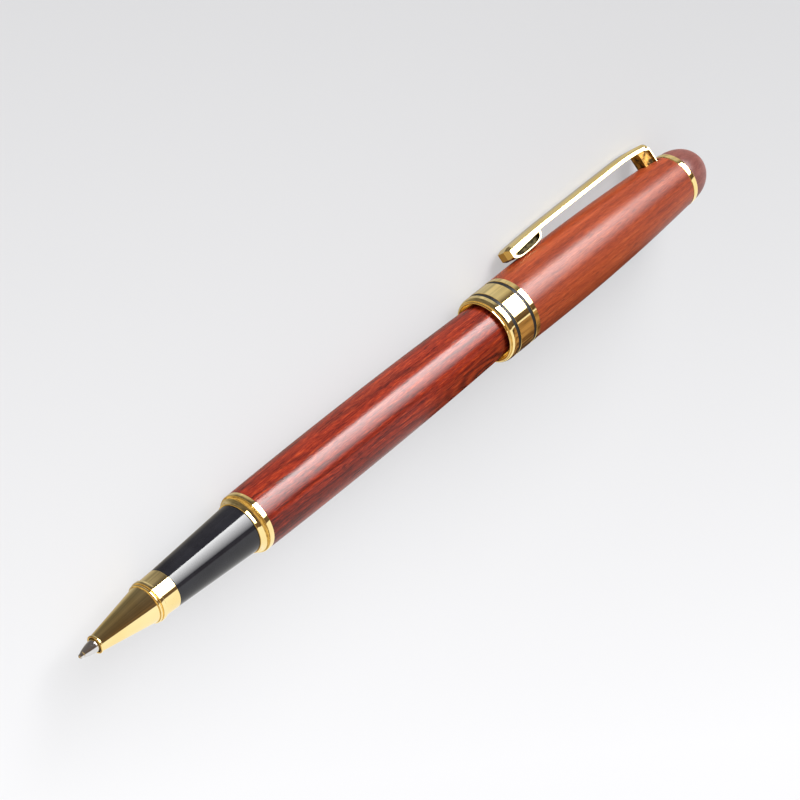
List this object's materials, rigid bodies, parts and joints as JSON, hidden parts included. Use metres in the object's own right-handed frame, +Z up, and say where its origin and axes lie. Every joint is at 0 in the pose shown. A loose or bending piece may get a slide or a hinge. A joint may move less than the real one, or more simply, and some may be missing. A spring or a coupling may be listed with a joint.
{
  "type": "rollerball pen",
  "caption": "Rollerball pen with turned rosewood barrel and posted cap, gold trim, black grip, spring clip and screw-in refill section.",
  "frame": {"origin": "centre of the footprint, on the ground the pen lies on", "axes": "+X along the pen towards the writing ball, +Z up; the clip points towards -Y and down, so that it and the cap rest on the ground"},
  "size_m": [0.1734, 0.0166, 0.0138],
  "materials": {
    "gold_plate": "polished",
    "raw_brass": "satin",
    "steel": "polished",
    "barrel_wood": "glossy lacquer",
    "cap_wood": "glossy lacquer",
    "dome_wood": "satin",
    "black_lacquer": "gloss",
    "white_plastic": "matte",
    "ink": "wet",
    "follower": "clear grease"
  },
  "bodies": {
    "barrel": {"barrel_sleeve": "barrel_wood", "barrel_tube": "raw_brass", "barrel_ring": "gold_plate", "barrel_end_cap": "gold_plate", "refill_spring": "steel"},
    "refill": {"refill_tube": "steel", "refill_point": "steel", "refill_adapter": "white_plastic", "refill_end_plug": "white_plastic", "ink_column": "ink", "ink_follower": "follower"},
    "section": {"section_collar": "gold_plate", "grip_section": "black_lacquer", "threaded_coupling": "raw_brass", "nose_cone": "gold_plate"},
    "writing_ball": {"ball": "steel"},
    "cap": {"cap_sleeve": "cap_wood", "cap_liner_tube": "raw_brass", "inner_cap": "white_plastic", "centre_band": "gold_plate", "band_line_front": "black_lacquer", "band_line_rear": "black_lacquer", "clip_anchor": "raw_brass", "finial_screw": "raw_brass", "finial_ring": "gold_plate", "finial_dome": "dome_wood"},
    "clip": {"clip": "gold_plate"}
  },
  "joints": [
    {"name": "section_travel", "type": "slide", "parent": "barrel", "child": "refill", "axis": [1, 0, 0], "range_m": [0, 0.005], "deforming": ["refill_spring"]},
    {"name": "section_turn", "type": "hinge", "parent": "refill", "child": "section", "pos_m": [0.0567, 0.00136, 0.0069], "axis": [1, 0, 0], "range_deg": [0, 1800]},
    {"name": "ball_roll", "type": "hinge", "parent": "refill", "child": "writing_ball", "pos_m": [0.08635, 0.00136, 0.0069], "axis": [0, 1, 0], "continuous": true},
    {"name": "cap_pull", "type": "slide", "parent": "barrel", "child": "cap", "axis": [-1, 0, 0], "range_m": [0, 0.04]},
    {"name": "clip_flex", "type": "hinge", "parent": "cap", "child": "clip", "pos_m": [-0.07585, -0.00153, 0.00511], "axis": [0, 0.5264, -0.8502], "range_deg": [0, 3], "stiffness_Nm_per_rad": 1.5}
  ],
  "couplings": [
    {"joint": "section_turn", "follows": "section_travel", "rad_per_m": 6283.2}
  ]
}
